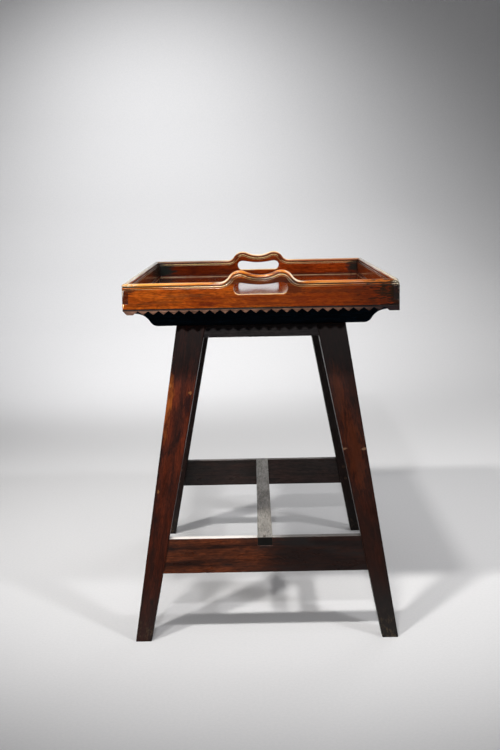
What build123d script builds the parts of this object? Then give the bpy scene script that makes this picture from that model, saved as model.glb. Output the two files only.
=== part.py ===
from build123d import *
from math import atan2, copysign, cos, radians, sin, tan
import os

# A butler tray with pierced handles, lying loose on a splayed four-legged stand.
# +X is the tray's right, +Y its far end, +Z up; the origin is on the floor under the middle.

# Tray walls
tray_width = 540.0
tray_length = 710.0
board_height = 50.0
board_thickness = 12.0
corner_round = 3.0
hem_chamfer = 1.7

# Moulded rim, from the top down: a rounded crown, a quirk, a bead and a fine lower quirk
crown_flat = 1.6
quirk_lead = 0.5
quirk_width = 1.8
quirk_depth = 1.7
rim_bead_height = 3.4
rim_bead_sink = 0.9
lower_quirk = 0.7

# Handles: two humps with a dip between them, rising out of the short walls
handle_span = 160.0
hump_spacing = 80.0
hump_rise = 22.0
hump_radius = 26.0
dip_depth = 9.0
hole_length = 106.0
hole_height = 22.0
hole_rise = 26.0
hole_dip = 4.0
hole_crest_radius = 60.0
hole_softening = 1.5

# Dovetailed corners: one tail on each end of a long wall
tail_height = 26.0
tail_rise = 11.0
tail_narrowing = 2.0

# Floor and its beads
floor_thickness = 9.0
rebate_width = 6.0
floor_bead_size = 4.0

# Saw-toothed skirts under the walls
skirt_height = 11.0
tooth_pitch = 20.0
notch_depth = 7.5
skirt_end_block = 20.0
worn_corner = 8.5
worn_run = 36.0
pin_diameter = 2.0
pin_length = 20.0
pin_edge_distance = 3.2
pin_every_teeth = 6

# Stand: how far the feet stand inside the tray's long walls and outside its short ones, and the lean
# of the legs' outer faces in both directions
stand_height = 682.0
foot_inset = 1.0
foot_outset = 7.5
lean_angle = 8.6
seat_gap = 0.3

# Legs
leg_foot_side = 32.5
leg_top_side = 59.5
leg_softening = 2.0
foot_chamfer = 1.2
top_tenon_width = 40.0
top_tenon_thickness = 24.0

# Bearers, which carry the tray, with ogee ends that reach inside the skirts
bearer_height = 44.0
bearer_thickness = 50.0
bearer_set_back = 2.0
bearer_skirt_gap = 2.0
bearer_ogee_run = 46.0
bearer_ogee_rise = 26.0
bearer_crest_radius = 18.0
bearer_softening = 1.5

# Rails between the legs
apron_height = 25.0
apron_thickness = 18.0
apron_set_back = 0.5
side_rail_height = 40.0
side_rail_thickness = 18.0
side_rail_set_back = 6.0
stretcher_rise = 136.0
stretcher_height = 70.5
stretcher_thickness = 15.5
stretcher_set_back = 4.0
medial_width = 30.5
medial_thickness = 16.5
rail_softening = 1.0
tenon_length = 28.0
tenon_cheek = 4.5
tenon_shoulder = 6.0

# Pegs through the tenons
peg_diameter = 7.0
medial_peg_diameter = 6.0
medial_peg_length = 26.0
peg_clearance = 0.1
peg_cover = 7.0
stretcher_peg_shares = (0.27, 0.73)

overrun = 2.0

# Levels and faces that follow from the sizes above
stance_width = tray_width - 2 * foot_inset
stance_length = tray_length + 2 * foot_outset
lean = tan(radians(lean_angle))
shoulder_level = stand_height - bearer_height
walls_bottom = stand_height + seat_gap
rim_level = walls_bottom + board_height
skirt_bottom = walls_bottom - skirt_height
floor_level = walls_bottom + floor_thickness
half_width = tray_width / 2
half_length = tray_length / 2
inner_half_width = half_width - board_thickness
inner_half_length = half_length - board_thickness
crown_radius = (board_thickness - crown_flat) / 2
moulding_height = crown_radius + quirk_lead + quirk_width + rim_bead_height + lower_quirk

written = []


def write(name, *solids):
    """Write one piece, or one group of like pieces, to its own file."""
    os.makedirs("parts", exist_ok=True)
    export_step(solids[0] if len(solids) == 1 else Compound(children=list(solids)), f"parts/{name}.step")
    written.append(name)


def block(x0, x1, y0, y1, z0, z1):
    """A box between two opposite corners."""
    corner = Location((min(x0, x1), min(y0, y1), min(z0, z1)))
    return corner * Solid.make_box(abs(x1 - x0), abs(y1 - y0), abs(z1 - z0))


def prism(points, direction):
    """A straight prism on a flat polygon given by its corners."""
    face = Face(Wire.make_polygon([Vector(*point) for point in points]))
    return Solid.extrude(face, Vector(*direction))


def frustum(lower, upper):
    """A six-sided solid between two level rectangles, each given by its corners in order."""
    walls = [[lower[i], lower[i - 1], upper[i - 1], upper[i]] for i in range(4)]
    faces = [Face(Wire.make_polygon([Vector(*point) for point in loop])) for loop in [lower, upper, *walls]]
    return Solid(Shell(faces))


def largest(shape):
    """The largest solid of a cut."""
    return max(shape.solids(), key=lambda solid: solid.volume)


def cut(solid, *cutters):
    """The largest solid left when the cutters are taken away."""
    return largest(solid.cut(*cutters))


def ogee(crest, foot, crest_radius):
    """Five points of two tangent arcs that leave the crest level and reach the foot level."""
    run, rise = foot[0] - crest[0], foot[1] - crest[1]
    turn = 2 * atan2(abs(rise), abs(run))
    foot_radius = abs(run) / sin(turn) - crest_radius

    def along(start, radius, angle, way):
        across = copysign(radius * sin(angle), way * run)
        down = copysign(radius * (1 - cos(angle)), way * rise)
        return start[0] + across, start[1] + down

    return [crest, along(crest, crest_radius, turn / 2, 1), along(crest, crest_radius, turn, 1),
            along(foot, foot_radius, turn / 2, -1), foot]


def arcs(points, y):
    """Arcs through points 1 to 3, 3 to 5 and so on, drawn upright at the given y."""
    lifted = [Vector(x, y, z) for x, z in points]
    return [Edge.make_three_point_arc(*lifted[i:i + 3]) for i in range(0, len(lifted) - 2, 2)]


def line(start, end, y):
    """A straight edge drawn upright at the given y."""
    return Edge.make_line(Vector(start[0], y, start[1]), Vector(end[0], y, end[1]))


def four_ways(solid):
    """The front left solid and its three mirror images: front right, back left, back right."""
    right = solid.mirror(Plane.YZ)
    return [solid, right, solid.mirror(Plane.XZ), right.mirror(Plane.XZ)]


# Rim moulding


def moulding_cutter(side):
    """Section of what the moulding plane takes off one edge, in (across, down) from the crown's middle."""
    half = board_thickness / 2
    flat = crown_flat / 2
    quirk_top = crown_radius + quirk_lead
    bead_top = quirk_top + quirk_width
    bead_foot = bead_top + rim_bead_height
    sunk = half - rim_bead_sink
    bow = crown_radius * sin(radians(45))
    crown = [(flat, 0), (flat + bow, bow - crown_radius), (half, -crown_radius)]
    bead = [(sunk, -bead_top), (half, -(bead_top + bead_foot) / 2), (sunk, -bead_foot)]
    corners = [crown[2], (half, -quirk_top), (half - quirk_depth, -quirk_top - quirk_width / 2), bead[0]]
    outside = [bead[2], (half, -moulding_height), (half + overrun, -moulding_height), (half + overrun, overrun),
               (flat, overrun), crown[0]]

    def at(point):
        return Vector(side * point[0], point[1])

    edges = [Edge.make_three_point_arc(*map(at, crown)), Edge.make_three_point_arc(*map(at, bead))]
    for run in (corners, outside):
        edges += [Edge.make_line(at(a), at(b)) for a, b in zip(run, run[1:])]
    return Face(Wire(edges))


def handle_contour():
    """Points of the near or far wall's top line over the handle, from left to right."""
    crest = (hump_spacing / 2, rim_level + hump_rise)
    foot = (handle_span / 2, rim_level)
    dip = (0, rim_level + hump_rise - dip_depth)
    rising = ogee(crest, foot, hump_radius)
    dipping = ogee(crest, dip, hump_radius)
    right = dipping[::-1] + rising[1:]
    left = [(-x, z) for x, z in right[::-1]]
    return left + right[1:]


def short_wall_blank():
    """The near wall with its raised handle and hand hole, before its ends are cut."""
    y = -half_length
    contour = handle_contour()
    left_top, right_top = (-half_width, rim_level), (half_width, rim_level)
    left_foot, right_foot = (-half_width, walls_bottom), (half_width, walls_bottom)
    outline = [line(left_foot, left_top, y), line(left_top, contour[0], y), *arcs(contour, y),
               line(contour[-1], right_top, y), line(right_top, right_foot, y), line(right_foot, left_foot, y)]
    wall = Solid.extrude(Face(Wire(outline)), Vector(0, board_thickness, 0))
    return wall


def hand_hole():
    """The long hole under the handle, its upper edge dipping with the handle's top."""
    y = -half_length - overrun
    bottom = walls_bottom + hole_rise
    top = bottom + hole_height
    end_radius = hole_height / 2
    straight = hole_length / 2 - end_radius
    dipping = ogee((straight, top), (0, top - hole_dip), hole_crest_radius)
    upper = [(-x, z) for x, z in dipping] + dipping[-2::-1]
    ends = [[(side * straight, bottom), (side * hole_length / 2, bottom + end_radius), (side * straight, top)]
            for side in (-1, 1)]
    outline = [line((-straight, bottom), (straight, bottom), y), *arcs(upper, y)]
    for end in ends:
        outline += arcs(end, y)
    return Solid.extrude(Face(Wire(outline)), Vector(0, board_thickness + 2 * overrun, 0))


def short_wall_mouldings():
    """What the moulding takes off both faces of the near wall, swept over the handle."""
    y = -half_length + board_thickness / 2
    contour = handle_contour()
    start, end = (-half_width - overrun, rim_level), (half_width + overrun, rim_level)
    path = Wire([line(start, contour[0], y), *arcs(contour, y), line(contour[-1], end, y)])
    section_plane = Plane(origin=(start[0], y, rim_level), x_dir=(0, 1, 0), z_dir=(1, 0, 0))
    return [Solid.sweep(section_plane.from_local_coords(moulding_cutter(side)), path) for side in (-1, 1)]


def long_wall_mouldings():
    """What the moulding takes off both faces of the left wall."""
    x = -half_width + board_thickness / 2
    section_plane = Plane(origin=(x, half_length + overrun, rim_level), x_dir=(1, 0, 0), z_dir=(0, -1, 0))
    reach = Vector(0, -tray_length - 2 * overrun, 0)
    return [Solid.extrude(section_plane.from_local_coords(moulding_cutter(side)), reach) for side in (-1, 1)]


# Corner joints of the walls


def tail(x_side):
    """The near dovetail of a long wall, on the left (-1) or right (+1), widest at the outer face."""
    bottom = walls_bottom + tail_rise
    top = bottom + tail_height
    x = x_side * inner_half_width
    points = [(x, -half_length, bottom), (x, -half_length, top),
              (x, -inner_half_length, top - tail_narrowing), (x, -inner_half_length, bottom + tail_narrowing)]
    return prism(points, (x_side * board_thickness, 0, 0))


def mitre(x_side):
    """The inner half of a near corner above the dovetail, which belongs to the long wall."""
    bottom = walls_bottom + tail_rise + tail_height
    outer, inner = x_side * half_width, x_side * inner_half_width
    points = [(outer, -half_length, bottom), (outer, -inner_half_length, bottom), (inner, -inner_half_length, bottom)]
    return prism(points, (0, 0, rim_level - bottom + overrun))


def rounded_envelope():
    """The tray's plan with its four upright corners rounded, as tall as the skirts and handles."""
    top = rim_level + hump_rise + overrun
    body = block(-half_width, half_width, -half_length, half_length, skirt_bottom - overrun, top)
    return body.fillet(corner_round, body.edges().filter_by(Axis.Z))


def left_floor_board(foot_level):
    """The left half of the floor, from foot_level up to the floor's upper face."""
    x, y = half_width - rebate_width, half_length - rebate_width
    return block(-x, 0, -y, y, foot_level, floor_level)


def near_wall_blank():
    """The near wall with its ends cut for the dovetails and mitres, but no hole or moulding."""
    return cut(short_wall_blank(), tail(-1), tail(1), mitre(-1), mitre(1))


def is_hole_rim(edge):
    """Whether an edge is one of the hole's edges on the wall's two faces."""
    box = edge.bounding_box()
    level = box.size.Y < board_thickness / 2 and box.max.Z < rim_level and box.min.Z > walls_bottom
    return level and max(abs(box.min.X), abs(box.max.X)) < hole_length


def finished_wall(blank, mouldings, pins):
    """A wall with its moulded rim, floor rebate, rounded corners and pin holes."""
    rebate = left_floor_board(walls_bottom - overrun)
    wall = cut(blank, *mouldings, rebate, rebate.mirror(Plane.YZ), *pins)
    return largest(wall & rounded_envelope())


def near_wall(pins):
    """The near wall with its handle, hand hole and moulding."""
    pierced = cut(near_wall_blank(), hand_hole())
    hole_edges = [edge for edge in pierced.edges() if is_hole_rim(edge)]
    return finished_wall(pierced.fillet(hole_softening, hole_edges), short_wall_mouldings(), pins)


def left_wall(pins):
    """The left wall, with the tails and mitred rim ends that the two short walls leave it."""
    near = near_wall_blank()
    wall = block(-half_width, -inner_half_width, -half_length, half_length, walls_bottom, rim_level)
    return finished_wall(cut(wall, near, near.mirror(Plane.XZ)), long_wall_mouldings(), pins)


# Quarter-round beads along the foot of the walls


def floor_bead(wall_distance, half_run):
    """A bead along a near wall line, with 45 degree mitres at both ends."""
    size = floor_bead_size
    start, y, z = -half_run, -wall_distance, floor_level
    bow = size * sin(radians(45))
    foot, out, up = Vector(start, y, z), Vector(start, y + size, z), Vector(start, y, z + size)
    crest = Vector(start, y + bow, z + bow)
    section = Face(Wire([Edge.make_line(foot, out), Edge.make_three_point_arc(out, crest, up),
                         Edge.make_line(up, foot)]))
    run = Solid.extrude(section, Vector(2 * half_run, 0, 0))
    plan = [(-half_run, y, z), (half_run, y, z), (half_run - size, y + size, z), (size - half_run, y + size, z)]
    return largest(run & prism(plan, (0, 0, size)))


# Skirts: strips pinned under the walls, with a row of triangular notches


def notch_places(length):
    """The middles of the notches along a strip that is centred on zero."""
    count = round((length - 2 * skirt_end_block) / tooth_pitch)
    return [(i - (count - 1) / 2) * tooth_pitch for i in range(count)]


def skirt_pins(length, face):
    """The pins of a near strip: one in each end block, and one in every so many teeth between."""
    notches = notch_places(length)
    block_middle = (length / 2 + notches[-1] + tooth_pitch / 2) / 2
    teeth = [place + tooth_pitch / 2 for place in notches[pin_every_teeth - 1:-1:pin_every_teeth]]
    places = [-block_middle, *teeth, block_middle]
    y = pin_edge_distance - face
    return [Pos(x, y, skirt_bottom) * Solid.make_cylinder(pin_diameter / 2, pin_length) for x in places]


def skirt(length, face, pins):
    """A near strip of the given length whose outer face is at -face."""
    strip = block(-length / 2, length / 2, -face, board_thickness - face, skirt_bottom, walls_bottom)
    hem = [edge for edge in strip.edges().filter_by(Axis.X)
           if edge.center().Y < overrun - face and edge.center().Z > walls_bottom - overrun]
    strip = strip.chamfer(hem_chamfer, None, hem)
    spread = (notch_depth + overrun) * tooth_pitch / 2 / notch_depth
    front, foot = -face - overrun, skirt_bottom - overrun
    notches = []
    for x in notch_places(length):
        points = [(x - spread, front, foot), (x + spread, front, foot), (x, front, skirt_bottom + notch_depth)]
        notches.append(prism(points, (0, board_thickness + 2 * overrun, 0)))
    return cut(strip, *notches, *pins)


def worn_off():
    """The knocked-off lower corner at the tray's front left, split back along the left strip's end block."""
    left, front = -half_width - overrun, -half_length - overrun
    foot, reach = skirt_bottom - overrun, worn_corner + 2 * overrun
    points = [(left, front, foot + reach), (left, front, foot), (left + reach, front, foot)]
    return prism(points, (0, overrun + worn_run, 0))


# Legs


def leg_blank(softened):
    """The front left leg: its outer faces lean in both ways, and all four taper to the foot."""
    loops = []
    for level, side in ((0, leg_foot_side), (shoulder_level, leg_top_side)):
        x, y = lean * level - stance_width / 2, lean * level - stance_length / 2
        loops.append([(x, y, level), (x + side, y, level), (x + side, y + side, level), (x, y + side, level)])
    leg = frustum(*loops)
    if not softened:
        return leg
    rising = [edge for edge in leg.edges() if edge.bounding_box().size.Z > shoulder_level / 2]
    leg = leg.fillet(leg_softening, rising)
    foot = [edge for edge in leg.edges() if edge.bounding_box().max.Z < foot_chamfer]
    return leg.chamfer(foot_chamfer, None, foot)


def leg_side(level):
    """The side of the leg's square section at a level."""
    return leg_foot_side + (leg_top_side - leg_foot_side) * level / shoulder_level


def leg_outer(stance, level):
    """How far a leg's outer face stands from the middle of the stand at a level."""
    return stance / 2 - lean * level


def top_tenon():
    """The tenon on the front left leg's top, through the bearer."""
    x = leg_top_side / 2 - leg_outer(stance_width, shoulder_level)
    y = bearer_middle()
    half_x, half_y = top_tenon_width / 2, top_tenon_thickness / 2
    return block(x - half_x, x + half_x, y - half_y, y + half_y, shoulder_level, stand_height)


# Bearers


def bearer_face():
    """The y of the front bearer's outer face."""
    return bearer_set_back - leg_outer(stance_length, shoulder_level)


def bearer_middle():
    """The y of the front bearer's middle plane."""
    return bearer_face() + bearer_thickness / 2


def front_bearer():
    """A beam along x on the leg tops, its underside rising to each end in an ogee."""
    y = bearer_face()
    end = inner_half_width - bearer_skirt_gap
    foot = (end - bearer_ogee_run, shoulder_level)
    rise = ogee(foot, (end, shoulder_level + bearer_ogee_rise), bearer_crest_radius)
    fall = [(-x, z) for x, z in rise[::-1]]
    outline = [*arcs(rise, y), line(rise[-1], (end, stand_height), y),
               line((end, stand_height), (-end, stand_height), y), line((-end, stand_height), fall[0], y),
               *arcs(fall, y), line(fall[-1], foot, y)]
    beam = Solid.extrude(Face(Wire(outline)), Vector(0, bearer_thickness, 0))
    lower = [edge for edge in beam.edges()
             if edge.bounding_box().size.Y < overrun and edge.bounding_box().max.Z < stand_height - overrun]
    return beam.fillet(bearer_softening, lower)


# Rails: level-edged boards between the legs, their faces leaning with the legs


def leaning_section(stance, set_back, thickness, bottom, top):
    """Corners of a near rail's section: (distance along the lean, level), outer face first."""
    outer = [set_back - leg_outer(stance, level) for level in (bottom, top)]
    return [(outer[0], bottom), (outer[1], top), (outer[1] + thickness, top), (outer[0] + thickness, bottom)]


def rail(run, stance, set_back, thickness, bottom, top, reach):
    """A near rail along x, or a left rail along y, that reaches equally to both sides of the middle."""
    section = leaning_section(stance, set_back, thickness, bottom, top)
    if run == "x":
        return prism([(-reach, across, level) for across, level in section], (2 * reach, 0, 0))
    return prism([(across, -reach, level) for across, level in section], (0, 2 * reach, 0))


def tenoned_rail(run, stance, across, set_back, thickness, bottom, top):
    """A rail shouldered against its legs, and the long tenon core that runs through it into both."""
    middle = (bottom + top) / 2
    inner = leg_outer(stance, middle) - leg_side(middle)
    board = rail(run, across, set_back, thickness, bottom, top, inner + leg_top_side)
    board = board.fillet(rail_softening, board.edges().filter_by(Axis.X if run == "x" else Axis.Y))
    board = cut(board, *four_ways(leg_blank(False)))
    core = rail(run, across, set_back + tenon_cheek, thickness - 2 * tenon_cheek,
                bottom + tenon_shoulder, top - tenon_shoulder, inner + tenon_length)
    return largest(board.fuse(core)), core


# Pegs, driven from the inside and stopped short of the outer face


def round_bar(diameter, start, direction, length):
    """A straight round bar."""
    return Solid.make_cylinder(diameter / 2, length, Plane(origin=start, z_dir=direction))


def tenon_peg(run, level, diameter):
    """A peg in the front left leg, across the tenon of a rail that runs along x or y."""
    along, across = (stance_width, stance_length) if run == "x" else (stance_length, stance_width)
    side = leg_side(level)
    place = side - tenon_length / 2 - leg_outer(along, level)
    start = peg_cover - leg_outer(across, level)
    if run == "x":
        bar = round_bar(diameter, (place, start, level), (0, 1, 0), side)
    else:
        bar = round_bar(diameter, (start, place, level), (1, 0, 0), side)
    return largest(bar & leg_blank(False))


def bearer_peg(diameter):
    """A peg across a front left leg's top tenon, flush with the bearer's inner face."""
    x = leg_top_side / 2 - leg_outer(stance_width, shoulder_level)
    start = (x, bearer_face() + peg_cover, stand_height - bearer_height / 2)
    return round_bar(diameter, start, (0, 1, 0), bearer_thickness - peg_cover)


def medial_peg(diameter):
    """A peg down through the near end of the medial stretcher into the stretcher under it."""
    top = stretcher_rise + stretcher_height
    y = stretcher_set_back + stretcher_thickness / 2 - leg_outer(stance_length, top)
    return round_bar(diameter, (0, y, top), (0, 0, -1), medial_peg_length)


# Medial stretcher


def medial_stretcher():
    """A flat board let into the tops of both stretchers, its ends flush with their outer faces."""
    top = stretcher_rise + stretcher_height
    bottom = top - medial_thickness
    near = [(-medial_width / 2, stretcher_set_back - leg_outer(stance_length, level), level)
            for level in (bottom, top)]
    far = [(x, -y, level) for x, y, level in near[::-1]]
    return prism([*near, *far], (medial_width, 0, 0))


# Tray, as it lies on the stand

front_pins = skirt_pins(tray_width, half_length)
side_run = tray_length - 2 * board_thickness
left_pins = [Rot(0, 0, -90) * pin for pin in skirt_pins(side_run, half_width)]

front_board = near_wall(front_pins)
left_board = left_wall(left_pins)
write("tray_front_board", front_board)
write("tray_back_board", front_board.mirror(Plane.XZ))
write("tray_left_board", left_board)
write("tray_right_board", left_board.mirror(Plane.YZ))

floor_board = left_floor_board(walls_bottom)
write("tray_floor_left_board", floor_board)
write("tray_floor_right_board", floor_board.mirror(Plane.YZ))

front_bead = floor_bead(inner_half_length, inner_half_width)
left_bead = Rot(0, 0, -90) * floor_bead(inner_half_width, inner_half_length)
write("front_floor_bead", front_bead)
write("back_floor_bead", front_bead.mirror(Plane.XZ))
write("left_floor_bead", left_bead)
write("right_floor_bead", left_bead.mirror(Plane.YZ))

whole_front_skirt = largest(skirt(tray_width, half_length, front_pins) & rounded_envelope())
whole_left_skirt = cut(Rot(0, 0, -90) * skirt(side_run, half_width, []), *left_pins)
write("front_skirt", cut(whole_front_skirt, worn_off()))
write("back_skirt", whole_front_skirt.mirror(Plane.XZ))
write("left_skirt", cut(whole_left_skirt, worn_off()))
write("right_skirt", whole_left_skirt.mirror(Plane.YZ))
write("skirt_pins", *front_pins, *[pin.mirror(Plane.XZ) for pin in front_pins],
      *left_pins, *[pin.mirror(Plane.YZ) for pin in left_pins])

# Stand: rails first, because their tenons shape the legs

stretcher_top = stretcher_rise + stretcher_height
apron_sizes = (apron_set_back, apron_thickness, shoulder_level - apron_height, shoulder_level)
side_rail_sizes = (side_rail_set_back, side_rail_thickness, shoulder_level - side_rail_height, shoulder_level)
stretcher_sizes = (stretcher_set_back, stretcher_thickness, stretcher_rise, stretcher_top)
apron, apron_core = tenoned_rail("x", stance_width, stance_length, *apron_sizes)
side_rail, side_rail_core = tenoned_rail("y", stance_length, stance_width, *side_rail_sizes)
stretcher, stretcher_core = tenoned_rail("x", stance_width, stance_length, *stretcher_sizes)

apron_level = shoulder_level - apron_height / 2
side_rail_level = shoulder_level - side_rail_height / 2
stretcher_levels = [stretcher_rise + stretcher_height * share for share in stretcher_peg_shares]


def pegs(extra):
    """The pegs of the front left corner, by group, each wider than its bar by extra."""
    size = peg_diameter + extra
    return {"bearer_pegs": [bearer_peg(size)],
            "apron_pegs": [tenon_peg("x", apron_level, size)],
            "side_rail_pegs": [tenon_peg("y", side_rail_level, size)],
            "stretcher_pegs": [tenon_peg("x", level, size) for level in stretcher_levels]}


holes = pegs(2 * peg_clearance)
corner_holes = [hole for group in holes.values() for hole in group]
medial_hole = medial_peg(medial_peg_diameter + 2 * peg_clearance)
medial_holes = [medial_hole, medial_hole.mirror(Plane.XZ)]
all_holes = [copy for hole in corner_holes for copy in four_ways(hole)]

front_left_leg = cut(leg_blank(True).fuse(top_tenon()), apron_core, side_rail_core, stretcher_core, *corner_holes)
leg_names = ["front_left_leg", "front_right_leg", "back_left_leg", "back_right_leg"]
for name, leg in zip(leg_names, four_ways(front_left_leg)):
    write(name, leg)

bearer = cut(front_bearer(), *four_ways(top_tenon()), *all_holes)
write("front_bearer", bearer)
write("back_bearer", bearer.mirror(Plane.XZ))

apron = cut(apron, *all_holes)
write("front_apron", apron)
write("back_apron", apron.mirror(Plane.XZ))

side_rail = cut(side_rail, *all_holes)
write("left_side_rail", side_rail)
write("right_side_rail", side_rail.mirror(Plane.YZ))

medial = medial_stretcher()
stretcher = cut(stretcher, medial, *all_holes, *medial_holes)
write("front_stretcher", stretcher)
write("back_stretcher", stretcher.mirror(Plane.XZ))

long_edges = [edge for edge in medial.edges() if edge.bounding_box().size.Y > half_length]
write("medial_stretcher", cut(medial.fillet(rail_softening, long_edges), *medial_holes))

for name, group in pegs(0).items():
    write(name, *[copy for peg in group for copy in four_ways(peg)])
near_peg = medial_peg(medial_peg_diameter)
write("medial_pegs", near_peg, near_peg.mirror(Plane.XZ))

print(f"{len(written)} pieces or groups; rim at {rim_level:.1f}, top at {rim_level + hump_rise:.1f}")
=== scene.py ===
from math import cos, pi, radians, sin

import bmesh
import bpy
from mathutils import Matrix, Vector


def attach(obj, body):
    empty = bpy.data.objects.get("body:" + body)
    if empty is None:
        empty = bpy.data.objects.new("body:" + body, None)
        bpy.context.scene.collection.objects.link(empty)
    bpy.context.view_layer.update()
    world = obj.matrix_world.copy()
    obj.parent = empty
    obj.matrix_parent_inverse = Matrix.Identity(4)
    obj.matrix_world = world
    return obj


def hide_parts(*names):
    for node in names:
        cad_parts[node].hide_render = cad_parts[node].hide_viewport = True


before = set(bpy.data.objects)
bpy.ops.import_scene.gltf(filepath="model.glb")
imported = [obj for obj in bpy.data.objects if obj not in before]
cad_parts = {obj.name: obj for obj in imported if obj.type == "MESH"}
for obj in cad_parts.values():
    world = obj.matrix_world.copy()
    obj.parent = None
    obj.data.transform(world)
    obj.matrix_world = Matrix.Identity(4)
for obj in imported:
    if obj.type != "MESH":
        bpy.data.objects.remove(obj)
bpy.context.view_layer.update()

# Legs: four posts of dark red hardwood, splayed both ways and tapering to the foot. They are sawn
# and planed, then polished; the arrises are rubbed and the faces carry long dark stains and a few chips.
# The tray's shadow is painted dark over their tops, they darken towards the foot, and the foot is painted
# grey for the pale floor's reflection. The near legs carry painted glows where the light falls, and the
# right and back legs are painted darker for their shade.


def add(tree, kind, feeds=(), **settings):
    """One shader node with its settings, and what feeds its sockets: a value or another node's socket."""
    node = tree.nodes.new("ShaderNode" + kind)
    for key, value in settings.items():
        setattr(node, key, value)
    for socket, feed in dict(feeds).items():
        if isinstance(feed, bpy.types.NodeSocket):
            tree.links.new(feed, node.inputs[socket])
        else:
            node.inputs[socket].default_value = feed
    return node


def new_finish(name):
    """A named finish with its tree, its shader and the point on the piece that it is at."""
    finish = bpy.data.materials.new(name)
    finish.use_nodes = True
    tree = finish.node_tree
    return finish, tree, tree.nodes["Principled BSDF"], add(tree, "TexCoord").outputs["Object"]


def three_ways(tree, arrow):
    """How far a point lies, or a face looks, to the right, to the far end and up."""
    return tuple(add(tree, "SeparateXYZ", {0: arrow}).outputs)


def outward(tree):
    """The way that the surface looks."""
    return add(tree, "NewGeometry").outputs["Normal"]


def joined(tree, how, a, b=0.0):
    """Two values put together by a sum, difference, maximum and so on."""
    return add(tree, "Math", {0: a, 1: b}, operation=how).outputs[0]


def both(tree, a, b):
    """Where two masks both hold, or a mask weakened to a share of itself."""
    return joined(tree, "MULTIPLY", a, b)


def between(tree, value, low, high, bottom=0.0, top=1.0):
    """A value stretched from low..high to bottom..top with soft ends."""
    return add(tree, "MapRange", {"Value": value, "From Min": low, "From Max": high, "To Min": bottom,
                                  "To Max": top}, interpolation_type="SMOOTHSTEP").outputs["Result"]


def likeness(tree, a, b):
    """How nearly two directions agree, 1 where they are the same."""
    return add(tree, "VectorMath", {0: a, 1: b}, operation="DOT_PRODUCT").outputs["Value"]


def laid_out(tree, place, grain, size, start):
    """The place measured from a start in feature sizes, (with the grain, across, across)."""
    turn = Vector(grain).to_track_quat("X", "Z").to_euler()
    return add(tree, "Mapping", {"Vector": place, "Location": start, "Rotation": turn, "Scale": size},
               vector_type="TEXTURE").outputs["Vector"]


def cloud(tree, place, grain, length, width, start=(0, 0, 0), detail=2.0, rough=0.5, bend=0.0):
    """Soft noise from 0 to 1, its features so long with the grain and so wide across it."""
    at = laid_out(tree, place, grain, (length, width, width), start)
    return add(tree, "TexNoise", {"Vector": at, "Scale": 1.0, "Detail": detail, "Roughness": rough,
                                  "Distortion": bend}).outputs["Fac"]


def tint(tree, share, under, over, blend="MIX"):
    """One colour laid over another by a share."""
    under, over = ((*colour, 1.0) if isinstance(colour, tuple) else colour for colour in (under, over))
    return add(tree, "Mix", {0: share, 6: under, 7: over}, data_type="RGBA", blend_type=blend).outputs[2]


def times(share, colour):
    """A colour darkened to a share of itself, or made lighter by a share over 1."""
    return tuple(share * part for part in colour)


def spot(tree, place, centre, reach, grain, ragged, soft):
    """How far a point is inside an oval mark with ragged soft edges, from 0 outside to 1 inside."""
    oval = laid_out(tree, place, grain, reach, centre)
    away = add(tree, "VectorMath", {0: oval}, operation="LENGTH").outputs["Value"]
    frayed = cloud(tree, place, grain, 0.025, 0.005, centre, 4.0, 0.65)
    away = joined(tree, "ADD", away, between(tree, frayed, 0.3, 0.7, ragged, -ragged))
    return between(tree, away, 1.0 + soft / 2, 1.0 - soft / 2)


def stained(tree, place, body, centre, reach, grain, ragged, soft, share, colour):
    """The finish so far with one oval mark laid on it."""
    return tint(tree, both(tree, spot(tree, place, centre, reach, grain, ragged, soft), share), body, colour)


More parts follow.
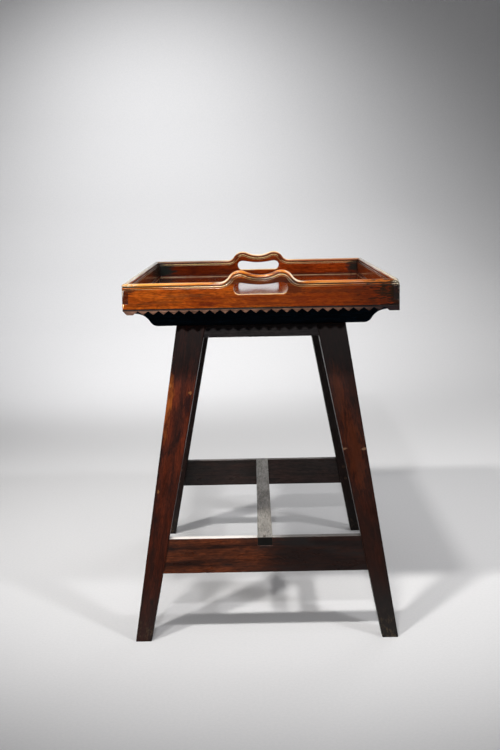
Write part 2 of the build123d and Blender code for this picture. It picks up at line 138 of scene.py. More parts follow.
def wood(name, grain, dark, mid, light, rubbed, figure=0.4, ring=0.009, blots=0.5, wear=0.6, corner_shade_and_grime=0.6, packed=0.0,
         haze=0.34, lustre=0.25, coat=0.0, coat_haze=0.14, coat_ior=1.5, top=None, upward=(0.45, 0.9), end=0.9,
         uneven=0.35, open_pores=1.0, marks=None, handled=None):
    """Polished hardwood. Growth rings lie about a heart outside the board, with streaks, fibres and pores
    along the grain, blots in the old polish, rubbed arrises, dark end grain, and painted shade, partly dirt, in
    the corners and grooves.

    The four colours come first. ring is a growth ring's width; figure, blots, wear, grime (painted shade and dirt in
    corners), packed (painted shade and dirt in grooves), end (black on end grain), uneven and open_pores are
    strengths. haze is the polish's roughness and lustre its shine, and coat a clear layer on it. top is a colour and
    share for faces that look up, as far as upward says, partly dust and wear and partly painted light from above.
    marks lays on a piece's own stains and painted light and shade, and handled says where its arrises are rubbed."""
    finish, tree, shader, place = new_finish(name)
    normal = outward(tree)
    deep = times(0.3, dark)

    drift = cloud(tree, place, grain, 0.085, 0.024, detail=4.0, rough=0.6, bend=0.5)
    body = tint(tree, between(tree, drift, 0.36, 0.64), mid, light)
    heart, ring_length, ring_unit = (0.0, 0.31, -0.17), 0.6, 0.1
    about_heart = laid_out(tree, place, grain, (ring_length, ring_unit, ring_unit), heart)
    rings = add(tree, "TexWave", {"Vector": about_heart, "Scale": ring_unit * pi / 10 / ring, "Distortion": 6.0,
                                  "Detail": 3.0, "Detail Scale": 0.2, "Detail Roughness": 0.6},
                wave_type="RINGS", rings_direction="X", wave_profile="SIN").outputs["Fac"]
    shown = between(tree, cloud(tree, place, grain, 0.2, 0.025, (0.2, 0.1, 0.1)), 0.36, 0.62, 0.15, figure)
    body = tint(tree, both(tree, between(tree, rings, 0.45, 1.0), shown), body, dark)

    streak = cloud(tree, place, grain, 0.05, 0.0032, detail=5.0, rough=0.62, bend=0.5)
    body = tint(tree, between(tree, streak, 0.50, 0.68, 0.0, 0.6), body, dark)
    body = tint(tree, between(tree, streak, 0.48, 0.32, 0.0, 0.5), body, light)
    fleck = cloud(tree, place, grain, 0.016, 0.0035, (0.1, 0.3, 0.2), 3.0, 0.6, 1.0)
    body = tint(tree, 1.0, body, between(tree, fleck, 0.34, 0.66, 0.67, 1.30), "MULTIPLY")
    fibre = cloud(tree, place, grain, 0.035, 0.0008)
    body = tint(tree, 1.0, body, between(tree, fibre, 0.3, 0.7, 0.80, 1.14), "MULTIPLY")
    pores = between(tree, cloud(tree, place, grain, 0.010, 0.0005, detail=1.0), 0.62, 0.72, 0.0, open_pores)
    body = tint(tree, both(tree, pores, 0.5), body, deep)

    blotch = cloud(tree, place, grain, 0.09, 0.03, (0.3, 0.1, 0.2), 5.0, 0.62, 0.7)
    body = tint(tree, between(tree, blotch, 0.50, 0.72, 0.0, blots), body, deep)
    lengthwise = likeness(tree, normal, tuple(Vector(grain).normalized()))
    cross_cut = between(tree, joined(tree, "ABSOLUTE", lengthwise), 0.7, 0.92)
    soot = cloud(tree, place, (0, 0, 1), 0.009, 0.004, detail=4.0, rough=0.65)
    sooted = both(tree, cross_cut, between(tree, soot, 0.36, 0.56, end * 0.75, end))
    body = tint(tree, sooted, body, times(0.35, dark))

    rub = cloud(tree, place, grain, 0.05, 0.014, (0.2, 0.2, 0.2), 4.0, 0.65)
    # Faces that look up take the top colour: partly dust and wear, partly painted light from above.
    if top:
        colour, share = top
        _, _, rise = three_ways(tree, normal)
        lit_top_and_dust = both(tree, between(tree, rise, *upward), between(tree, rub, 0.3, 0.6, share / 2, share))
        body = tint(tree, lit_top_and_dust, body, colour)
    if marks:
        body = marks(tree, place, body)

    bevel = add(tree, "Bevel", {"Radius": 0.0020}, samples=6).outputs["Normal"]
    bent = between(tree, likeness(tree, bevel, normal), 0.985, 0.87)
    arris = both(tree, bent, between(tree, rub, 0.38, 0.62, 0.1, 1.0))
    if handled:
        arris = both(tree, arris, handled(tree, place))
    body = tint(tree, both(tree, arris, wear), body, rubbed)
    # Painted shade, partly dirt: corners and grooves darken by how shut in they are.
    corner = add(tree, "AmbientOcclusion", {"Distance": 0.014}, samples=6).outputs["AO"]
    dirt = between(tree, corner, 0.80, 0.30, 0.0, corner_shade_and_grime)
    if packed:
        groove = add(tree, "AmbientOcclusion", {"Distance": 0.0035}, samples=6).outputs["AO"]
        dirt = joined(tree, "MAXIMUM", dirt, between(tree, groove, 0.88, 0.62, 0.0, packed))
    body = tint(tree, dirt, body, times(0.4, deep))
    tree.links.new(body, shader.inputs["Base Color"])

    dull = between(tree, blotch, 0.35, 0.7, haze * 0.8, haze * 1.4)
    for mask, more in ((pores, 0.08), (cross_cut, 0.12), (dirt, 0.3)):
        dull = joined(tree, "ADD", dull, both(tree, mask, more))
    tree.links.new(dull, shader.inputs["Roughness"])

    planed = cloud(tree, place, grain, 0.10, 0.024, (0.4, 0.4, 0.4), 1.0)
    height = joined(tree, "ADD", both(tree, planed, uneven), both(tree, streak, 0.05))
    height = joined(tree, "SUBTRACT", height, both(tree, pores, 0.03))
    bump = add(tree, "Bump", {"Height": height, "Normal": bevel, "Strength": 0.6, "Distance": 0.001})
    tree.links.new(bump.outputs["Normal"], shader.inputs["Normal"])
    for socket, value in (("Specular IOR Level", lustre), ("Coat Weight", coat), ("Coat Roughness", coat_haze),
                          ("Coat IOR", coat_ior)):
        shader.inputs[socket].default_value = value
    return finish


def dress(finish, *nodes):
    """Lays a finish on every face of the pieces named."""
    for node in nodes:
        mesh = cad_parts[node].data
        mesh.materials.clear()
        mesh.materials.append(finish)


leg_slope = 0.1512
leg_polish = dict(dark=(0.012, 0.004, 0.003), rubbed=(0.22, 0.075, 0.035), figure=0.6, ring=0.011, blots=1.0,
                  haze=0.42, lustre=0.12)
# The front left leg's tones are the lit ones; the front right and back legs are painted darker for the shade they
# stand in.
leg_mids = {"front_left": (0.052, 0.0088, 0.003), "front_right": (0.0165, 0.0040, 0.0022),
            "back_left": (0.014, 0.007, 0.006), "back_right": (0.010, 0.0065, 0.006)}

# Each row is one mark on a near leg: centre, reach, raggedness, softness, share and colour. The
# painted glows of light on the lit faces come first, then the dark stains, and the small pale chips last.
leg_spots = {
    "front_left": (
        ((-0.2000, -0.2880, 0.4800), (0.065, 0.010, 0.03), 0.4, 1.0, 0.75, (0.34, 0.085, 0.012)),
        ((-0.2135, -0.3030, 0.3850), (0.034, 0.0075, 0.02), 0.5, 0.9, 0.85, (0.010, 0.003, 0.003)),
        ((-0.1520, -0.2900, 0.4810), (0.022, 0.006, 0.02), 0.5, 0.9, 0.85, (0.010, 0.003, 0.003)),
        ((-0.1889, -0.2842, 0.5175), (0.0035, 0.003, 0.01), 0.6, 0.6, 0.6, (0.30, 0.12, 0.035)),
        ((-0.1474, -0.2865, 0.5026), (0.003, 0.0022, 0.01), 0.6, 0.6, 0.6, (0.30, 0.12, 0.035)),
        ((-0.2180, -0.3180, 0.3050), (0.003, 0.002, 0.01), 0.6, 0.6, 0.6, (0.30, 0.12, 0.035))),
    "front_right": (
        ((0.1520, -0.2840, 0.5020), (0.05, 0.008, 0.03), 0.5, 1.0, 0.22, (0.13, 0.028, 0.007)),
        ((0.1860, -0.3040, 0.3780), (0.07, 0.013, 0.03), 0.5, 1.0, 0.26, (0.13, 0.028, 0.007)),
        ((0.1644, -0.3045, 0.3837), (0.0018, 0.0045, 0.01), 0.5, 0.6, 0.6, (0.22, 0.12, 0.07)),
        ((0.2051, -0.3046, 0.3829), (0.0025, 0.0045, 0.01), 0.5, 0.6, 0.6, (0.22, 0.12, 0.07)))}


def leg_marks(corner, grain):
    """The marks of one leg: the tray's shadow painted over its top, darker towards the foot, a grey painted at the
    foot for the pale floor's reflection, scuffs at the foot, and its own spots.
    """
    floor_reflection_grey = 0.7 if corner == "front_right" else 0.45

    def lay(tree, place, body):
        _, _, level = three_ways(tree, place)
        # Painted shade: the tray's shadow darkens the leg's top.
        tray_shadow = between(tree, level, 0.48, 0.59, 0.0, 0.75)
        body = tint(tree, tray_shadow, body, (0.015, 0.0125, 0.0125))
        lower_leg = between(tree, level, 0.44, 0.14, 0.0, 0.5)
        body = tint(tree, lower_leg, body, (0.017, 0.007, 0.005))
        # Painted reflection: the foot is greyed for the pale floor it stands on.
        foot = between(tree, level, 0.17, 0.03, 0.0, floor_reflection_grey)
        body = tint(tree, foot, body, (0.020, 0.021, 0.021))
        scuff = cloud(tree, place, grain, 0.012, 0.006, detail=4.0, rough=0.7)
        scuffed = both(tree, between(tree, scuff, 0.50, 0.66), between(tree, level, 0.07, 0.005, 0.0, 0.6))
        body = tint(tree, scuffed, body, (0.11, 0.075, 0.045))
        for centre, reach, ragged, soft, share, colour in leg_spots.get(corner, ()):
            body = stained(tree, place, body, centre, reach, grain, ragged, soft, share, colour)
        return body

    return lay


for corner, mid in leg_mids.items():
    grain = (-leg_slope if "right" in corner else leg_slope, leg_slope if "front" in corner else -leg_slope, 1.0)
    leg_wood = wood(corner + "_leg_polish", grain, mid=mid, light=times(2.1, mid), **leg_polish,
                    marks=leg_marks(corner, grain))
    dress(leg_wood, corner + "_leg")

# Stretchers: two boards on edge, tenoned low between each pair of legs, of the legs' wood. Their
# tops are dry and pale, partly dust where shoes have taken the polish and partly a painted highlight,
# and the front arris is worn.

along_x, along_y, along_z = (1, 0, 0), (0, 1, 0), (0, 0, 1)


def stretcher_marks(tree, place, body):
    """The front stretcher's right half, darker than its left."""
    across, _, _ = three_ways(tree, place)
    right_half = between(tree, across, -0.06, 0.06, 0.0, 0.9)
    return tint(tree, right_half, body, (0.0065, 0.005, 0.005))


front_stretcher_wood = wood("front_stretcher_polish", along_x, dark=(0.010, 0.004, 0.003),
                            mid=(0.058, 0.0165, 0.0075), light=(0.12, 0.030, 0.011), rubbed=(0.24, 0.08, 0.04),
                            figure=0.8, ring=0.013, blots=0.9, wear=0.7, top=((0.90, 0.85, 0.80), 2.0),
                            marks=stretcher_marks)
dress(front_stretcher_wood, "front_stretcher")
# Painted shade and painted reflection: the back stretcher is darker and greyer than the front one, for its shade and
# the pale floor it reflects.
back_stretcher_wood = wood("back_stretcher_polish", along_x, dark=(0.008, 0.005, 0.005),
                           mid=(0.022, 0.015, 0.0135), light=(0.042, 0.022, 0.018), rubbed=(0.09, 0.05, 0.04),
                           figure=0.5, ring=0.013, blots=0.6, top=((0.20, 0.17, 0.15), 0.7))
dress(back_stretcher_wood, "back_stretcher")

# Medial stretcher: one flat board from stretcher to stretcher, halved into their tops and pegged.
# Its grey is partly wear on its upper face and partly a painted sheen of the pale room, and its sawn
# ends show dark in the stretchers' faces.

medial_wood = wood("medial_polish", along_y, dark=(0.010, 0.008, 0.006), mid=(0.225, 0.205, 0.180),
                   light=(0.275, 0.255, 0.225), rubbed=(0.20, 0.17, 0.14), blots=0.2, figure=0.2, lustre=0.2,
                   end=1.35, wear=0.1, uneven=0.08, open_pores=0.4)
dress(medial_wood, "medial_stretcher")

# Aprons and side rails: low rails tenoned between the legs' tops, close under the bearers, in the
# tray's shadow and nearly black with old polish, with a grey cast painted in for the pale floor's reflection.

rail_tones = dict(dark=(0.010, 0.009, 0.010), mid=(0.026, 0.021, 0.023), light=(0.035, 0.028, 0.028),
                  rubbed=(0.09, 0.06, 0.05), lustre=0.1)
apron_wood = wood("apron_polish", along_x, **rail_tones)
dress(apron_wood, "front_apron", "back_apron")
side_rail_wood = wood("side_rail_polish", along_y, **rail_tones)
dress(side_rail_wood, "left_side_rail", "right_side_rail")

# Bearers: two beams morticed over the leg tops, their undersides sawn up to the ends in an ogee.
# They carry the tray and are near black, with a blue cast painted into the black for the shade under
# the tray.

bearer_wood = wood("bearer_black_with_painted_shade", along_x, dark=(0.002, 0.005, 0.009), mid=(0.003, 0.011, 0.021),
                   light=(0.004, 0.014, 0.026), rubbed=(0.016, 0.020, 0.024), lustre=0.05, haze=0.5, wear=0.3)
dress(bearer_wood, "front_bearer", "back_bearer")

# Pegs: turned or split hardwood pins driven through the tenons from the inside and cut flush, so
# that their dull end grain shows.

peg_tones = dict(dark=(0.02, 0.010, 0.007), rubbed=(0.14, 0.08, 0.05), ring=0.003, haze=0.5, end=0.3)
peg_wood = wood("peg_end_grain", along_y, mid=(0.06, 0.030, 0.018), light=(0.09, 0.045, 0.026), **peg_tones)
dress(peg_wood, "bearer_pegs", "apron_pegs", "side_rail_pegs", "stretcher_pegs")
medial_peg_wood = wood("medial_peg_end_grain", along_z, mid=(0.06, 0.038, 0.028), light=(0.08, 0.055, 0.04),
                       **peg_tones)
dress(medial_peg_wood, "medial_pegs")

# Tray walls: four boards of orange-red hardwood, dovetailed at the corners, with a moulded rim and a
# handle sawn and rounded in each short wall. The rim is golden, partly rubbed by hands and partly painted
# light where it looks up, with painted shade in its quirks and a painted highlight on its beads. Hands have
# blackened the corners, where the tails show their dark end grain.

rim_level = 0.7323
moulding_foot = (0.7205, 0.7240)
half_thick = 0.006
# The top colours on the rim are partly rubbed wear and partly painted light from above; the side walls' pale top is
# partly a painted reflection of the pale room, and the back wall's a painted highlight on its crest.
front_tones = dict(dark=(0.085, 0.012, 0.002), mid=(0.28, 0.044, 0.003), light=(0.40, 0.080, 0.006),
                   rubbed=(0.68, 0.38, 0.09), top=((0.49, 0.15, 0.010), 1.5))
side_tones = dict(dark=(0.060, 0.009, 0.002), mid=(0.18, 0.028, 0.003), light=(0.27, 0.050, 0.004),
                  rubbed=(0.52, 0.28, 0.11), top=((0.52, 0.45, 0.35), 1.8))
back_tones = dict(dark=(0.040, 0.006, 0.002), mid=(0.115, 0.014, 0.002), light=(0.175, 0.024, 0.003),
                  rubbed=(0.50, 0.27, 0.10), top=((0.72, 0.50, 0.28), 1.6))


def wall_handled(tree, place):
    """Where hands wear a wall's arrises: the rim and the handles, but not the joints below."""
    across, _, level = three_ways(tree, place)
    by_handle = between(tree, joined(tree, "ABSOLUTE", across), 0.13, 0.10)
    return joined(tree, "MAXIMUM", between(tree, level, 0.7210, 0.7225), by_handle)


def rim_lines(tree, place, body, way, middle, bead_highlight):
    """Painted shade in the quirk along the straight rims, and a painted highlight on the upper flank of the bead
    under it. The bead is told from the crown by its tighter curve: how much it turns upward for how far it lies
    inside the wall's face. The way through the wall is 0, across the tray, for a side wall and 1, along it, for an
    end wall."""
    parts = three_ways(tree, place)
    across, _, level = parts
    straight = between(tree, joined(tree, "ABSOLUTE", across), 0.088, 0.096)
    # Painted shade in the quirk.
    quirk = both(tree, between(tree, level, 0.7246, 0.7250), between(tree, level, 0.7274, 0.7270))
    body = tint(tree, both(tree, straight, quirk), body, (0.012, 0.005, 0.003))
    off_middle = joined(tree, "SUBTRACT", joined(tree, "ABSOLUTE", parts[way]), middle)
    inside = joined(tree, "SUBTRACT", half_thick, joined(tree, "ABSOLUTE", off_middle))
    _, _, rise = three_ways(tree, outward(tree))
    curve = joined(tree, "DIVIDE", both(tree, rise, rise), joined(tree, "MAXIMUM", inside, 0.00001))
    crown_curve, bead_curve, bead_foot = 480, 680, (0.00095, 0.00085)
    # Painted highlight on the upper flank of the bead.
    bead = both(tree, between(tree, curve, crown_curve, bead_curve), between(tree, rise, 0.10, 0.25))
    bead = both(tree, bead, between(tree, inside, *bead_foot))
    return tint(tree, both(tree, bead, bead_highlight), body, (0.80, 0.56, 0.22))


# Each row is one stain on the front wall, laid in this order: how far right and up its centre is, its
# half length and half height, share, raggedness and colour. It goes right through the wall.
front_wall_middle = -0.350
through_wall = 0.05
front_wall_stains = (
    (0.276, 0.700, 0.027, 0.036, 1.0, 0.7, (0.013, 0.005, 0.003)),
    (0.254, 0.712, 0.036, 0.013, 0.90, 1.3, (0.012, 0.007, 0.003)),
    (0.205, 0.705, 0.036, 0.016, 0.35, 1.3, (0.030, 0.010, 0.004)),
    (0.235, 0.688, 0.040, 0.005, 0.5, 1.2, (0.030, 0.008, 0.003)),
    (-0.2600, 0.7160, 0.012, 0.0045, 0.8, 1.2, (0.020, 0.009, 0.005)),
    (-0.155, 0.706, 0.045, 0.004, 0.45, 0.8, (0.075, 0.030, 0.010)),
    (-0.205, 0.694, 0.050, 0.003, 0.4, 0.8, (0.080, 0.030, 0.008)),
    (-0.100, 0.690, 0.018, 0.005, 0.45, 0.5, (0.080, 0.008, 0.004)),
    (-0.020, 0.688, 0.060, 0.004, 0.45, 0.8, (0.070, 0.012, 0.005)),
    (0.010, 0.698, 0.085, 0.012, 0.45, 0.8, (0.110, 0.016, 0.004)),
    (0.130, 0.711, 0.060, 0.004, 0.45, 0.6, (0.045, 0.014, 0.006)),
    (0.000, 0.7335, 0.090, 0.0075, 0.8, 0.3, (0.040, 0.010, 0.005)),
    (0.066, 0.722, 0.020, 0.016, 0.7, 0.5, (0.040, 0.010, 0.005)),
    (-0.004, 0.7475, 0.030, 0.0050, 0.8, 0.8, (0.130, 0.030, 0.010)))


def front_wall_marks(tree, place, body):
    """The front wall's rim, browner to the right and painted lighter at the left for a highlight, its stains, pale
    patches on its handle's shoulders that are partly wear and partly painted highlight, and pale wear on its
    corners.
    """
    across, _, level = three_ways(tree, place)
    below_rim = both(tree, between(tree, level, *reversed(moulding_foot)), between(tree, across, -0.10, 0.24))
    body = tint(tree, both(tree, below_rim, 0.85), body, (0.092, 0.010, 0.002))
    body = rim_lines(tree, place, body, 1, 0.349, between(tree, across, 0.20, 0.04, 0.1, 0.75))
    rim_right = both(tree, between(tree, level, *moulding_foot), between(tree, across, 0.04, 0.24))
    body = tint(tree, both(tree, rim_right, 0.7), body, (0.23, 0.046, 0.004))
    # Painted highlight: the crown lighter and paler at the left, where the light falls.
    rim_left_highlight = both(tree, between(tree, level, 0.7255, 0.7300), between(tree, across, -0.08, -0.24))
    body = tint(tree, both(tree, rim_left_highlight, 0.6), body, (0.78, 0.40, 0.10))
    bottom_edge = between(tree, level, 0.6832, 0.6823, 0.0, 0.9)
    body = tint(tree, bottom_edge, body, (0.012, 0.004, 0.003))
    for right, up, half_length, half_height, share, ragged, colour in front_wall_stains:
        body = stained(tree, place, body, (right, front_wall_middle, up), (half_length, through_wall, half_height),
                       along_x, ragged, 0.6, share, colour)

    _, facing, _ = three_ways(tree, outward(tree))
    rounded = between(tree, joined(tree, "ABSOLUTE", facing), 0.97, 0.80)
    # Painted highlights, partly wear: pale patches where light catches the handle's rounded shoulders.
    for centre in ((-0.070, front_wall_middle, 0.7405), (0.068, front_wall_middle, 0.7420)):
        shoulder_glint_and_wear = both(tree, spot(tree, place, centre, (0.017, through_wall, 0.014), along_x, 0.4, 0.9), rounded)
        body = tint(tree, both(tree, shoulder_glint_and_wear, 0.7), body, (0.82, 0.66, 0.45))
    flakes = between(tree, cloud(tree, place, along_x, 0.0045, 0.0025, (0.2, 0.0, 0.1)), 0.47, 0.55)
    for centre, reach, share in (((0.268, -0.352, 0.7265), (0.012, 0.02, 0.0080), 0.95),
                                 ((-0.262, -0.352, 0.7290), (0.020, 0.02, 0.0060), 0.7)):
        worn = both(tree, spot(tree, place, centre, reach, along_x, 0.4, 0.8), flakes)
        body = tint(tree, both(tree, worn, share), body, (0.60, 0.54, 0.40))
    return body


def back_wall_marks(tree, place, body):
    """Greenish black in the two far inner corners, a darker left half that is painted shade, and a browner rim at
    the right.
    """
    across, _, level = three_ways(tree, place)
    # Painted shade over the back wall's left half.
    left_half_shade = between(tree, across, -0.02, -0.16, 0.0, 0.7)
    body = tint(tree, left_half_shade, body, (0.026, 0.003, 0.001))
    body = rim_lines(tree, place, body, 1, 0.349, 0.6)
    rim_right = both(tree, between(tree, level, *moulding_foot), between(tree, across, 0.02, 0.16))
    body = tint(tree, both(tree, rim_right, 0.65), body, (0.20, 0.055, 0.025))
    for centre, reach in (((-0.255, 0.344, 0.706), (0.034, 0.02, 0.022)),
                          ((0.252, 0.344, 0.712), (0.022, 0.02, 0.014))):
        body = stained(tree, place, body, centre, reach, along_x, 0.4, 0.9, 0.95, (0.006, 0.010, 0.009))
    return body


def side_wall_marks(tree, place, body):
    """The same darkening along the far inner end of the left wall, and the black near end of the right one."""
    body = rim_lines(tree, place, body, 0, 0.264, 0.75)
    for centre, reach, share, colour in (((-0.262, 0.300, 0.700), (0.13, 0.02, 0.035), 0.9, (0.010, 0.009, 0.006)),
                                         ((0.266, -0.354, 0.700), (0.030, 0.02, 0.030), 1.0, (0.010, 0.006, 0.005))):
        body = stained(tree, place, body, centre, reach, along_y, 0.8, 0.9, share, colour)
    return body


def knock_off(node, finish, corners):
    """A wall with its near rim corners worn round, in four flats that blend, and a little deeper at the front than
    behind. The board's own faces stay flat; the moulding and the worn corners are shaded round."""
    half_width, near, front_dip = 0.270, -0.351, -0.14
    flats = (15, 35, 55, 75)
    worn = bmesh.new()
    worn.from_mesh(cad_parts[node].data)
    bmesh.ops.remove_doubles(worn, verts=worn.verts, dist=0.000001)
    for side, reach in corners:
        for lean in flats:
            across, up = side * sin(radians(lean)), cos(radians(lean))
            touch = Vector((side * (half_width - reach) + across * reach, near, rim_level - reach + up * reach))
            cut = bmesh.ops.bisect_plane(worn, geom=worn.verts[:] + worn.edges[:] + worn.faces[:], dist=0.0000001,
                                         plane_co=touch, plane_no=(across, front_dip, up), clear_outer=True)
            rim = [part for part in cut["geom_cut"] if isinstance(part, bmesh.types.BMEdge)]
            bmesh.ops.triangle_fill(worn, use_beauty=True, edges=rim)
    bmesh.ops.recalc_face_normals(worn, faces=worn.faces[:])
    mesh = bpy.data.meshes.new("worn_" + node)
    worn.to_mesh(mesh)
    worn.free()
    mesh.set_sharp_from_angle(angle=radians(35))
    for face in mesh.polygons:
        face.use_smooth = max(map(abs, face.normal)) < 0.9999
    mesh.materials.append(finish)
    wall = bpy.data.objects.new("worn_" + node, mesh)
    bpy.context.scene.collection.objects.link(wall)
    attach(wall, "tray")
    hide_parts(node)


wall_polish = dict(packed=1.0, haze=0.16, handled=wall_handled, wear=0.65, figure=0.3, corner_shade_and_grime=0.95)
left_wear, right_wear = (-1, 0.005), (1, 0.012)
front_wall_wood = wood("front_wall_polish", along_x, **front_tones, **wall_polish, lustre=0.35, coat=0.1,
                       coat_haze=0.08, upward=(0.05, 0.6), blots=0.35, marks=front_wall_marks)
knock_off("tray_front_board", front_wall_wood, (right_wear, left_wear))
back_wall_wood = wood("back_wall_polish", along_x, **back_tones, **wall_polish, lustre=0.1, upward=(0.40, 0.85),
                      marks=back_wall_marks)
dress(back_wall_wood, "tray_back_board")
side_wall_wood = wood("side_wall_polish", along_y, **side_tones, **wall_polish, lustre=0.35, upward=(0.25, 0.75),
                      end=0.75, marks=side_wall_marks)
knock_off("tray_left_board", side_wall_wood, (left_wear,))
knock_off("tray_right_board", side_wall_wood, (right_wear,))

# Tray floor: two boards glued edge to edge along the tray and let into a rebate under the walls.
# It keeps a high polish, darker in one corner and with dirt along the glued joint.


def floor_marks(tree, place, body):
    """The far left corner darkened, and the glued joint along the middle."""
    body = stained(tree, place, body, (-0.240, 0.310, 0.691), (0.10, 0.05, 0.03), along_y, 0.4, 0.9, 0.85,
                   (0.016, 0.013, 0.010))
    across, _, _ = three_ways(tree, place)
    joint = between(tree, joined(tree, "ABSOLUTE", across), 0.0007, 0.0002, 0.0, 0.3)
    return tint(tree, joint, body, (0.008, 0.004, 0.003))


floor_wood = wood("tray_floor_polish", along_y, dark=(0.035, 0.008, 0.004), mid=(0.185, 0.030, 0.003),
                  light=(0.270, 0.046, 0.004), rubbed=(0.25, 0.11, 0.05), haze=0.085, lustre=0.5, coat=1.0,
                  coat_haze=0.08, coat_ior=1.65, marks=floor_marks, corner_shade_and_grime=0.3, uneven=0.02, open_pores=0.05)
dress(floor_wood, "tray_floor_left_board", "tray_floor_right_board")

# Floor beads: thin quarter-round strips glued where wall meets floor, mitred at the corners, with a
# thin pale line painted along their rounds for a highlight.

end_pieces, side_pieces = (("front", "back"), along_x), (("left", "right"), along_y)
# The pale top colour of the beads is a painted highlight.
bead_tones = dict(dark=(0.02, 0.004, 0.002), mid=(0.055, 0.010, 0.003), light=(0.080, 0.016, 0.005),
                  rubbed=(0.5, 0.36, 0.24), top=((0.36, 0.26, 0.15), 1.0), upward=(0.30, 0.16), corner_shade_and_grime=0.1,
                  haze=0.22, ring=0.004, wear=0.0, lustre=0.06, uneven=0.05)
for ends, grain in (end_pieces, side_pieces):
    bead_wood = wood("_".join(ends) + "_bead_polish", grain, **bead_tones)
    dress(bead_wood, *[end + "_floor_bead" for end in ends])

# Skirts: saw-toothed strips bradded under the walls, cut from the same wood and grown dull, with
# dirt in the joint above them.


def skirt_marks(tree, place, body):
    """The darker right half, and black dirt packed in the joint between skirt and wall."""
    across, _, level = three_ways(tree, place)
    right_half = between(tree, across, 0.08, 0.25, 0.0, 0.95)
    body = tint(tree, right_half, body, (0.014, 0.009, 0.011))
    joint = between(tree, level, 0.6788, 0.6798, 0.0, 0.95)
    return tint(tree, joint, body, (0.005, 0.003, 0.003))


skirt_tones = dict(dark=(0.050, 0.024, 0.016), mid=(0.165, 0.080, 0.052), light=(0.240, 0.125, 0.084),
                   rubbed=(0.26, 0.17, 0.10), ring=0.006, haze=0.42, corner_shade_and_grime=0.7, wear=0.15, lustre=0.12,
                   marks=skirt_marks)
for ends, grain in (end_pieces, side_pieces):
    skirt_wood = wood("_".join(ends) + "_skirt_polish", grain, **skirt_tones)
    dress(skirt_wood, *[end + "_skirt" for end in ends])

# Skirt pins: steel brads driven up through the strips into the walls. Their small heads have gone
# dull, and brown with rust in patches.

pin_steel, tree, shader, place = new_finish("pin_steel")
rust = cloud(tree, place, along_z, 0.0015, 0.0015, detail=4.0, rough=0.6)
bare_steel, brown_rust = (0.10, 0.09, 0.085), (0.10, 0.045, 0.02)
tree.links.new(tint(tree, between(tree, rust, 0.4, 0.62), bare_steel, brown_rust), shader.inputs["Base Color"])
tree.links.new(between(tree, rust, 0.4, 0.62, 0.35, 0.75), shader.inputs["Roughness"])
tree.links.new(between(tree, rust, 0.62, 0.4, 0.2, 0.95), shader.inputs["Metallic"])
dress(pin_steel, "skirt_pins")

# The room: a pale paper sweep under and behind the piece, a lamp high on the left, weaker ones
# around it, and the camera.

sweep = bmesh.new()
sweep_width = 16.0
profile = [(-2.9, 0.0), (2.2, 0.0), (2.5, 0.02), (2.8, 0.09), (3.1, 0.24), (3.35, 0.5), (3.5, 0.85), (3.55, 1.3),
           (3.55, 7.0)]
edge = [sweep.verts.new((-sweep_width / 2, y, z)) for y, z in profile]
for a, b in zip(edge, edge[1:]):
    sweep.edges.new((a, b))
widened = bmesh.ops.extrude_edge_only(sweep, edges=sweep.edges[:])
bmesh.ops.translate(sweep, vec=(sweep_width, 0, 0),
                    verts=[part for part in widened["geom"] if isinstance(part, bmesh.types.BMVert)])
bmesh.ops.recalc_face_normals(sweep, faces=sweep.faces[:])
paper_mesh = bpy.data.meshes.new("paper_sweep")
sweep.to_mesh(paper_mesh)
sweep.free()
for face in paper_mesh.polygons:
    face.use_smooth = True
paper = bpy.data.objects.new("paper_sweep", paper_mesh)
bpy.context.scene.collection.objects.link(paper)
paper_finish, tree, shader, place = new_finish("pale_paper")
ray = add(tree, "LightPath").outputs
seen = joined(tree, "MAXIMUM", ray["Is Camera Ray"], ray["Is Glossy Ray"])
weave = cloud(tree, place, along_x, 0.006, 0.006, detail=3.0, rough=0.7)
paper_tone = tint(tree, between(tree, weave, 0.3, 0.7), (0.725, 0.725, 0.735), (0.757, 0.752, 0.762))
paper_bounce = (0.25, 0.25, 0.25)
tree.links.new(tint(tree, seen, paper_bounce, paper_tone), shader.inputs["Base Color"])
shader.inputs["Roughness"].default_value = 0.9
shader.inputs["Specular IOR Level"].default_value = 0.1
paper_mesh.materials.append(paper_finish)


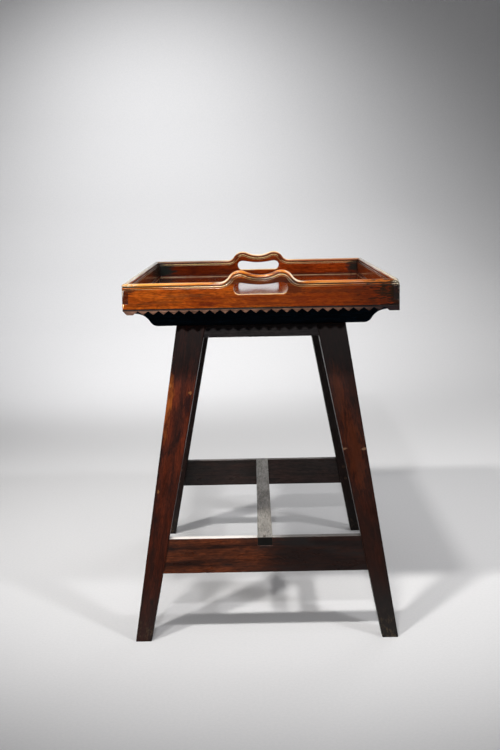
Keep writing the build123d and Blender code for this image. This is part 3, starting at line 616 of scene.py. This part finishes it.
def lamp(name, at, aim, size, watts, spread=None, colour=(1.0, 1.0, 1.0)):
    """A lamp at one point, turned to another: a soft square, or with a spread a round one whose pool of light
    fades to nothing at its edge."""
    light = bpy.data.lights.new(name, "SPOT" if spread else "AREA")
    if spread:
        light.spot_size = radians(spread)
        light.spot_blend = 1.0
        light.shadow_soft_size = size
    else:
        light.size = size
    light.energy = watts
    light.color = colour
    holder = bpy.data.objects.new(name, light)
    holder.location = at
    holder.rotation_euler = (Vector(aim) - Vector(at)).to_track_quat("-Z", "Y").to_euler()
    holder.visible_camera = False
    bpy.context.scene.collection.objects.link(holder)


warm = (1.0, 0.985, 0.955)
lamp("key", (-1.3, -1.5, 2.9), (0.1, 0.5, 0.5), 0.12, 240, 58, warm)
lamp("near_key", (-0.45, -1.6, 3.1), (0.1, 0.5, 0.5), 0.12, 156, 58, warm)
lamp("low_front", (-0.15, -2.6, 1.87), (0.0, 0.2, 0.6), 0.05, 110, 54)
lamp("right_key", (1.7, -1.5, 2.9), (-0.1, 0.4, 0.5), 0.15, 104, 58)
lamp("wall_wash", (-0.6, 1.7, 2.2), (-0.5, 3.4, 0.45), 0.3, 170, 104)
lamp("fill", (2.4, -2.0, 1.5), (0, 0, 0.5), 1.4, 6)
lamp("overhead", (0.0, 0.3, 3.5), (0, 0.3, 0), 2.4, 30)
lamp("back_fill", (1.6, 2.4, 1.9), (0, 0, 0.5), 1.2, 12)

world = bpy.data.worlds.new("room")
world.use_nodes = True
tree = world.node_tree
around = tree.nodes["Background"]
around.inputs["Color"].default_value = (0.95, 0.96, 1.0, 1.0)
camera_ray = add(tree, "LightPath").outputs["Is Camera Ray"]
world_light, world_seen = 0.08, 0.55
strength = add(tree, "MapRange", {"Value": camera_ray, "To Min": world_light, "To Max": world_seen})
tree.links.new(strength.outputs["Result"], around.inputs["Strength"])
bpy.context.scene.world = world

camera = bpy.data.cameras.new("camera")
camera.sensor_fit = "VERTICAL"
camera.sensor_height = 36.0
camera.lens = 50.0
eye = bpy.data.objects.new("camera", camera)
stands_at = (-0.01493, -2.37391, 0.89484)
turned, tipped_down, rolled = 0.26, 9.72, -1.15
eye.matrix_world = (Matrix.Translation(stands_at) @ Matrix.Rotation(radians(turned), 4, "Z")
                    @ Matrix.Rotation(radians(90 - tipped_down), 4, "X") @ Matrix.Rotation(radians(rolled), 4, "Z"))
bpy.context.scene.collection.objects.link(eye)
bpy.context.scene.camera = eye
bpy.context.scene.view_settings.view_transform = "Standard"
